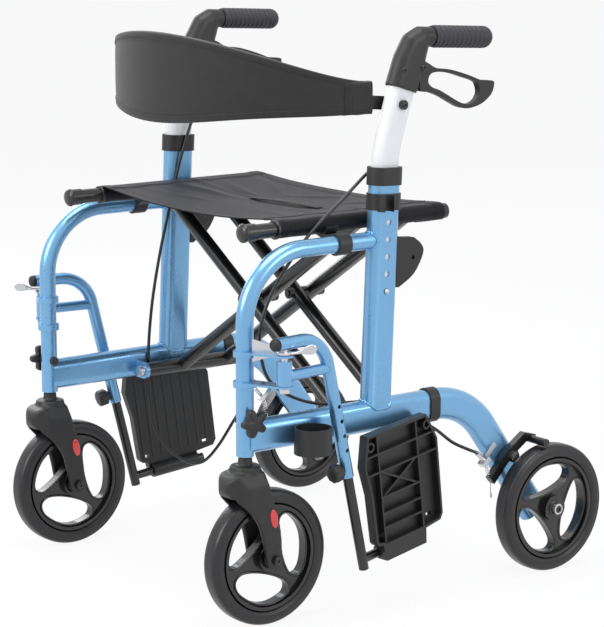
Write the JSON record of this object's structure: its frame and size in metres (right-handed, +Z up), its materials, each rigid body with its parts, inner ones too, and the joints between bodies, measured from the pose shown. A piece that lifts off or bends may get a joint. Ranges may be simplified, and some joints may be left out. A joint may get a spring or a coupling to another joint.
{
  "type": "rollator transport chair",
  "caption": "Folding walker with seat that doubles as a transport chair: blue tube frame, loop brakes, bowed backrest and swing-away footrests.",
  "frame": {"origin": "on the floor under the middle of the unfolded chair's bounding box", "axes": "+Z up, -Y toward the casters and the backrest band's bow, +X toward the user's left side when seated"},
  "size_m": [0.6919, 0.708, 0.8461],
  "materials": {
    "frame_paint": "gloss",
    "handle_paint": "gloss",
    "black_paint": "satin",
    "black_plastic": "satin",
    "rim_plastic": "gloss",
    "grip_rubber": "matte",
    "tyre_rubber": "satin",
    "cable_sheath": "satin",
    "seat_cloth": "woven",
    "backrest_cloth": "padded",
    "zinc_steel": "satin"
  },
  "bodies": {
    "brace_a": {"brace_a": "black_paint", "seat_sling": "seat_cloth"},
    "brace_b": {"brace_b": "black_paint"},
    "left_frame": {"left_side_frame": "frame_paint", "left_upright_collar": "black_plastic", "left_hanger_bracket": "frame_paint", "left_frame_clips": "black_plastic", "left_bag_hook": "black_plastic", "left_frame_pins": "zinc_steel", "left_brake_cable": "cable_sheath", "left_rear_axle": "zinc_steel", "cane_holder": "black_plastic"},
    "left_handle": {"left_handle_tube": "handle_paint", "left_handle_body": "black_plastic", "left_grip": "grip_rubber"},
    "left_lever": {"left_brake_lever": "black_plastic"},
    "left_button": {"left_height_button": "zinc_steel"},
    "left_caster": {"left_caster_fork": "black_plastic", "left_caster_stem": "black_paint"},
    "left_caster_wheel": {"left_caster_rim": "rim_plastic", "left_caster_tyre": "tyre_rubber"},
    "left_rear_wheel": {"left_rear_rim": "rim_plastic", "left_rear_tyre": "tyre_rubber"},
    "left_brake": {"left_brake_arm": "black_paint"},
    "left_hanger": {"left_hanger_tube": "frame_paint"},
    "left_latch": {"left_latch_lever": "zinc_steel"},
    "left_footrest": {"left_footrest_tube": "black_paint"},
    "left_plate": {"left_foot_plate": "black_plastic"},
    "left_thumb": {"left_thumb_knob": "black_plastic"},
    "left_star": {"left_star_knob": "black_plastic"},
    "right_frame": {"right_side_frame": "frame_paint", "right_upright_collar": "black_plastic", "right_hanger_bracket": "frame_paint", "right_frame_clips": "black_plastic", "right_bag_hook": "black_plastic", "right_frame_pins": "zinc_steel", "right_brake_cable": "cable_sheath", "right_rear_axle": "zinc_steel"},
    "right_handle": {"right_handle_tube": "handle_paint", "right_handle_body": "black_plastic", "right_grip": "grip_rubber"},
    "right_lever": {"right_brake_lever": "black_plastic"},
    "right_button": {"right_height_button": "zinc_steel"},
    "right_caster": {"right_caster_fork": "black_plastic", "right_caster_stem": "black_paint"},
    "right_caster_wheel": {"right_caster_rim": "rim_plastic", "right_caster_tyre": "tyre_rubber"},
    "right_rear_wheel": {"right_rear_rim": "rim_plastic", "right_rear_tyre": "tyre_rubber"},
    "right_brake": {"right_brake_arm": "black_paint"},
    "right_hanger": {"right_hanger_tube": "frame_paint"},
    "right_latch": {"right_latch_lever": "zinc_steel"},
    "right_footrest": {"right_footrest_tube": "black_paint"},
    "right_plate": {"right_foot_plate": "black_plastic"},
    "right_thumb": {"right_thumb_knob": "black_plastic"},
    "right_star": {"right_star_knob": "black_plastic"},
    "backrest": {"left_back_arm": "black_paint", "backrest_band": "backrest_cloth"},
    "right_back": {"right_back_arm": "black_paint"}
  },
  "joints": [
    {"name": "fold", "type": "hinge", "parent": "left_frame", "child": "brace_a", "pos_m": [0.23, 0, 0.272], "axis": [0, 1, 0], "range_deg": [0, 48], "deforming": ["seat_sling", "backrest_band"]},
    {"name": "brace_cross", "type": "hinge", "parent": "brace_a", "child": "brace_b", "pos_m": [0, 0, 0.4185], "axis": [0, 1, 0], "range_deg": [-96, 0]},
    {"name": "fold_right", "type": "hinge", "parent": "brace_b", "child": "right_frame", "pos_m": [-0.23, 0, 0.272], "axis": [0, 1, 0], "range_deg": [0, 48]},
    {"name": "left_handle_height", "type": "slide", "parent": "left_frame", "child": "left_handle", "axis": [0, 0.0436, 0.999], "range_m": [0, 0.1016], "deforming": ["left_brake_cable", "left_height_button"]},
    {"name": "left_button_press", "type": "slide", "parent": "left_handle", "child": "left_button", "axis": [-1, 0, 0], "range_m": [0, 0.005], "stiffness_N_per_m": 800},
    {"name": "left_squeeze", "type": "hinge", "parent": "left_handle", "child": "left_lever", "pos_m": [0.264, 0.02355, 0.78688], "axis": [1, 0, 0], "range_deg": [0, 14], "stiffness_Nm_per_rad": 1.2},
    {"name": "left_brake_turn", "type": "hinge", "parent": "left_frame", "child": "left_brake", "pos_m": [0.264, 0.2, 0.184], "axis": [-1, 0, 0], "range_deg": [0, 2.8]},
    {"name": "left_swivel", "type": "hinge", "parent": "left_frame", "child": "left_caster", "pos_m": [0.264, -0.288, 0.23], "axis": [0, 0, 1], "continuous": true},
    {"name": "left_caster_roll", "type": "hinge", "parent": "left_caster", "child": "left_caster_wheel", "pos_m": [0.264, -0.254, 0.1], "axis": [1, 0, 0], "continuous": true},
    {"name": "left_rear_roll", "type": "hinge", "parent": "left_frame", "child": "left_rear_wheel", "pos_m": [0.314, 0.254, 0.1], "axis": [1, 0, 0], "continuous": true},
    {"name": "left_swing", "type": "hinge", "parent": "left_frame", "child": "left_hanger", "pos_m": [0.322, -0.262, 0.38], "axis": [0, 0, -1], "range_deg": [0, 187]},
    {"name": "left_latch_turn", "type": "hinge", "parent": "left_hanger", "child": "left_latch", "pos_m": [0.322, -0.262, 0.407], "axis": [0, 0, -1], "range_deg": [0, 40], "stiffness_Nm_per_rad": 0.3},
    {"name": "left_foot_height", "type": "slide", "parent": "left_hanger", "child": "left_footrest", "axis": [0.0284, -0.2317, 0.9724], "range_m": [0, 0.075]},
    {"name": "left_plate_flip", "type": "hinge", "parent": "left_footrest", "child": "left_plate", "pos_m": [0.30279, -0.10559, 0.077], "axis": [-0.1209, 0.9843, 0.1288], "range_deg": [0, 90]},
    {"name": "left_thumb_turn", "type": "hinge", "parent": "left_hanger", "child": "left_thumb", "pos_m": [0.30703, -0.14005, 0.22161], "axis": [0.1185, -0.9651, -0.2334], "continuous": true},
    {"name": "left_star_turn", "type": "hinge", "parent": "left_frame", "child": "left_star", "pos_m": [0.264, -0.288, 0.304], "axis": [1, 0, 0], "continuous": true},
    {"name": "right_handle_height", "type": "slide", "parent": "right_frame", "child": "right_handle", "axis": [0, 0.0436, 0.999], "range_m": [0, 0.1016], "deforming": ["right_brake_cable", "right_height_button"]},
    {"name": "right_button_press", "type": "slide", "parent": "right_handle", "child": "right_button", "axis": [1, 0, 0], "range_m": [0, 0.005], "stiffness_N_per_m": 800},
    {"name": "right_squeeze", "type": "hinge", "parent": "right_handle", "child": "right_lever", "pos_m": [-0.264, 0.02355, 0.78688], "axis": [1, 0, 0], "range_deg": [0, 14], "stiffness_Nm_per_rad": 1.2},
    {"name": "right_brake_turn", "type": "hinge", "parent": "right_frame", "child": "right_brake", "pos_m": [-0.264, 0.2, 0.184], "axis": [-1, 0, 0], "range_deg": [0, 2.8]},
    {"name": "right_swivel", "type": "hinge", "parent": "right_frame", "child": "right_caster", "pos_m": [-0.264, -0.288, 0.23], "axis": [0, 0, 1], "continuous": true},
    {"name": "right_caster_roll", "type": "hinge", "parent": "right_caster", "child": "right_caster_wheel", "pos_m": [-0.264, -0.254, 0.1], "axis": [1, 0, 0], "continuous": true},
    {"name": "right_rear_roll", "type": "hinge", "parent": "right_frame", "child": "right_rear_wheel", "pos_m": [-0.314, 0.254, 0.1], "axis": [1, 0, 0], "continuous": true},
    {"name": "right_swing", "type": "hinge", "parent": "right_frame", "child": "right_hanger", "pos_m": [-0.322, -0.262, 0.38], "axis": [0, 0, 1], "range_deg": [0, 187]},
    {"name": "right_latch_turn", "type": "hinge", "parent": "right_hanger", "child": "right_latch", "pos_m": [-0.322, -0.262, 0.407], "axis": [0, 0, 1], "range_deg": [-40, 0], "stiffness_Nm_per_rad": 0.3},
    {"name": "right_foot_height", "type": "slide", "parent": "right_hanger", "child": "right_footrest", "axis": [-0.0284, -0.2317, 0.9724], "range_m": [0, 0.075]},
    {"name": "right_plate_flip", "type": "hinge", "parent": "right_footrest", "child": "right_plate", "pos_m": [-0.30279, -0.10559, 0.077], "axis": [0.1209, 0.9843, 0.1288], "range_deg": [-90, 0]},
    {"name": "right_thumb_turn", "type": "hinge", "parent": "right_hanger", "child": "right_thumb", "pos_m": [-0.30703, -0.14005, 0.22161], "axis": [-0.1185, -0.9651, -0.2334], "continuous": true},
    {"name": "right_star_turn", "type": "hinge", "parent": "right_frame", "child": "right_star", "pos_m": [-0.264, -0.288, 0.304], "axis": [1, 0, 0], "continuous": true},
    {"name": "backrest_flip", "type": "hinge", "parent": "left_handle", "child": "backrest", "pos_m": [0.264, -0.01407, 0.7349], "axis": [-1, 0, 0], "range_deg": [0, 170]},
    {"name": "right_arm_flip", "type": "hinge", "parent": "right_handle", "child": "right_back", "pos_m": [-0.264, -0.01407, 0.7349], "axis": [-1, 0, 0], "range_deg": [0, 170]}
  ],
  "couplings": [
    {"joint": "brace_cross", "follows": "fold", "ratio": -2},
    {"joint": "fold_right", "follows": "fold", "ratio": 1},
    {"joint": "left_brake_turn", "follows": "left_squeeze", "ratio": 0.2},
    {"joint": "right_brake_turn", "follows": "right_squeeze", "ratio": 0.2},
    {"joint": "right_handle_height", "follows": "left_handle_height", "ratio": 1},
    {"joint": "right_arm_flip", "follows": "backrest_flip", "ratio": 1}
  ]
}
